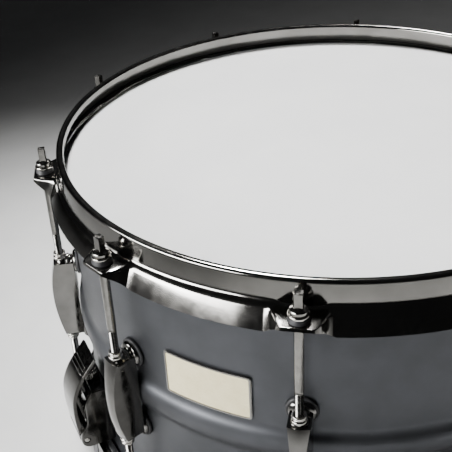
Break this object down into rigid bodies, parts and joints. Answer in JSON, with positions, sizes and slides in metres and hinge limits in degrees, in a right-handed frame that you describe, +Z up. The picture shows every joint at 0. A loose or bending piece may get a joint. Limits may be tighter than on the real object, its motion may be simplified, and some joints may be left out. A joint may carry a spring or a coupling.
{
  "type": "snare drum",
  "caption": "Deep snare drum with a beaded metal shell, tensioned heads, pressed hoops, two-ended lugs and a throw-off that drops the wires from the lower head.",
  "frame": {"origin": "on the drum's axis, in the plane its lower rim stands on", "axes": "+Z up along the drum's axis, batter head at the top; the strainer is at -X and the butt plate at +X"},
  "size_m": [0.4028, 0.4008, 0.233],
  "materials": {
    "shell": "satin dark grey lacquer on spun metal",
    "batter_film": "fine-sprayed off-white coating on polyester film",
    "snare_film": "clear hazy polyester film",
    "flesh_hoop": "extruded channel, satin",
    "hoop": "black nickel plate, polished",
    "tension_rod": "black nickel plate, polished",
    "lug": "black nickel plate, polished",
    "strainer": "black nickel plate, polished",
    "screw": "nickel-plated steel",
    "wires": "drawn steel wire",
    "strap": "black plastic strip",
    "badge": "ivory enamel with a dark raised border",
    "vent": "black nickel plate"
  },
  "bodies": {
    "drum": {"shell": "shell", "batter_head": "batter_film", "snare_head": "snare_film", "batter_flesh_hoop": "flesh_hoop", "snare_flesh_hoop": "flesh_hoop", "batter_hoop": "hoop", "snare_hoop": "hoop", "lug_01": "lug", "lug_02": "lug", "lug_03": "lug", "lug_04": "lug", "lug_05": "lug", "lug_06": "lug", "lug_07": "lug", "lug_08": "lug", "lug_09": "lug", "lug_10": "lug", "strainer_housing": "strainer", "butt_block": "strainer", "butt_clamp": "strainer", "strainer_lever_pin": "screw", "strainer_fixing_screw_low": "screw", "strainer_fixing_screw_high": "screw", "butt_fixing_screw_low": "screw", "butt_fixing_screw_high": "screw", "butt_clamp_screw_left": "screw", "butt_clamp_screw_right": "screw", "badge": "badge", "vent_grommet": "vent"},
    "lever": {"strainer_lever": "strainer"},
    "carriage": {"strainer_carriage": "strainer", "strainer_clamp": "strainer", "strainer_clamp_screw_left": "screw", "strainer_clamp_screw_right": "screw"},
    "knob": {"strainer_knob": "strainer"},
    "snares": {"snare_wires": "wires", "strainer_end_plate": "wires", "butt_end_plate": "wires", "strainer_strap": "strap", "butt_strap": "strap"},
    "batter_rod_01": {"batter_rod_01": "tension_rod"},
    "batter_rod_02": {"batter_rod_02": "tension_rod"},
    "batter_rod_03": {"batter_rod_03": "tension_rod"},
    "batter_rod_04": {"batter_rod_04": "tension_rod"},
    "batter_rod_05": {"batter_rod_05": "tension_rod"},
    "batter_rod_06": {"batter_rod_06": "tension_rod"},
    "batter_rod_07": {"batter_rod_07": "tension_rod"},
    "batter_rod_08": {"batter_rod_08": "tension_rod"},
    "batter_rod_09": {"batter_rod_09": "tension_rod"},
    "batter_rod_10": {"batter_rod_10": "tension_rod"},
    "snare_rod_01": {"snare_rod_01": "tension_rod"},
    "snare_rod_02": {"snare_rod_02": "tension_rod"},
    "snare_rod_03": {"snare_rod_03": "tension_rod"},
    "snare_rod_04": {"snare_rod_04": "tension_rod"},
    "snare_rod_05": {"snare_rod_05": "tension_rod"},
    "snare_rod_06": {"snare_rod_06": "tension_rod"},
    "snare_rod_07": {"snare_rod_07": "tension_rod"},
    "snare_rod_08": {"snare_rod_08": "tension_rod"},
    "snare_rod_09": {"snare_rod_09": "tension_rod"},
    "snare_rod_10": {"snare_rod_10": "tension_rod"}
  },
  "joints": [
    {"name": "batter_rod_01_turn", "type": "hinge", "parent": "drum", "child": "batter_rod_01", "pos_m": [0.18165, 0.05902, 0.2], "axis": [0, 0, 1], "continuous": true},
    {"name": "snare_rod_01_turn", "type": "hinge", "parent": "drum", "child": "snare_rod_01", "pos_m": [0.18165, 0.05902, 0.033], "axis": [0, 0, 1], "continuous": true},
    {"name": "batter_rod_02_turn", "type": "hinge", "parent": "drum", "child": "batter_rod_02", "pos_m": [0.11227, 0.15452, 0.2], "axis": [0, 0, 1], "continuous": true},
    {"name": "snare_rod_02_turn", "type": "hinge", "parent": "drum", "child": "snare_rod_02", "pos_m": [0.11227, 0.15452, 0.033], "axis": [0, 0, 1], "continuous": true},
    {"name": "batter_rod_03_turn", "type": "hinge", "parent": "drum", "child": "batter_rod_03", "pos_m": [0, 0.191, 0.2], "axis": [0, 0, 1], "continuous": true},
    {"name": "snare_rod_03_turn", "type": "hinge", "parent": "drum", "child": "snare_rod_03", "pos_m": [0, 0.191, 0.033], "axis": [0, 0, 1], "continuous": true},
    {"name": "batter_rod_04_turn", "type": "hinge", "parent": "drum", "child": "batter_rod_04", "pos_m": [-0.11227, 0.15452, 0.2], "axis": [0, 0, 1], "continuous": true},
    {"name": "snare_rod_04_turn", "type": "hinge", "parent": "drum", "child": "snare_rod_04", "pos_m": [-0.11227, 0.15452, 0.033], "axis": [0, 0, 1], "continuous": true},
    {"name": "batter_rod_05_turn", "type": "hinge", "parent": "drum", "child": "batter_rod_05", "pos_m": [-0.18165, 0.05902, 0.2], "axis": [0, 0, 1], "continuous": true},
    {"name": "snare_rod_05_turn", "type": "hinge", "parent": "drum", "child": "snare_rod_05", "pos_m": [-0.18165, 0.05902, 0.033], "axis": [0, 0, 1], "continuous": true},
    {"name": "batter_rod_06_turn", "type": "hinge", "parent": "drum", "child": "batter_rod_06", "pos_m": [-0.18165, -0.05902, 0.2], "axis": [0, 0, 1], "continuous": true},
    {"name": "snare_rod_06_turn", "type": "hinge", "parent": "drum", "child": "snare_rod_06", "pos_m": [-0.18165, -0.05902, 0.033], "axis": [0, 0, 1], "continuous": true},
    {"name": "batter_rod_07_turn", "type": "hinge", "parent": "drum", "child": "batter_rod_07", "pos_m": [-0.11227, -0.15452, 0.2], "axis": [0, 0, 1], "continuous": true},
    {"name": "snare_rod_07_turn", "type": "hinge", "parent": "drum", "child": "snare_rod_07", "pos_m": [-0.11227, -0.15452, 0.033], "axis": [0, 0, 1], "continuous": true},
    {"name": "batter_rod_08_turn", "type": "hinge", "parent": "drum", "child": "batter_rod_08", "pos_m": [0, -0.191, 0.2], "axis": [0, 0, 1], "continuous": true},
    {"name": "snare_rod_08_turn", "type": "hinge", "parent": "drum", "child": "snare_rod_08", "pos_m": [0, -0.191, 0.033], "axis": [0, 0, 1], "continuous": true},
    {"name": "batter_rod_09_turn", "type": "hinge", "parent": "drum", "child": "batter_rod_09", "pos_m": [0.11227, -0.15452, 0.2], "axis": [0, 0, 1], "continuous": true},
    {"name": "snare_rod_09_turn", "type": "hinge", "parent": "drum", "child": "snare_rod_09", "pos_m": [0.11227, -0.15452, 0.033], "axis": [0, 0, 1], "continuous": true},
    {"name": "batter_rod_10_turn", "type": "hinge", "parent": "drum", "child": "batter_rod_10", "pos_m": [0.18165, -0.05902, 0.2], "axis": [0, 0, 1], "continuous": true},
    {"name": "snare_rod_10_turn", "type": "hinge", "parent": "drum", "child": "snare_rod_10", "pos_m": [0.18165, -0.05902, 0.033], "axis": [0, 0, 1], "continuous": true},
    {"name": "lever_throw", "type": "hinge", "parent": "drum", "child": "lever", "pos_m": [-0.1985, 0, 0.049], "axis": [0, -1, 0], "range_deg": [0, 95]},
    {"name": "carriage_slide", "type": "slide", "parent": "drum", "child": "carriage", "axis": [0, 0, -1], "range_m": [0, 0.009]},
    {"name": "snare_drop", "type": "slide", "parent": "drum", "child": "snares", "axis": [0, 0, -1], "range_m": [0, 0.0022]},
    {"name": "knob_turn", "type": "hinge", "parent": "drum", "child": "knob", "pos_m": [-0.186, 0, 0.092], "axis": [0, 0, 1], "continuous": true}
  ],
  "couplings": [
    {"joint": "carriage_slide", "follows": "lever_throw", "m_per_rad": 0.005},
    {"joint": "snare_drop", "follows": "lever_throw", "m_per_rad": 0.0012}
  ]
}
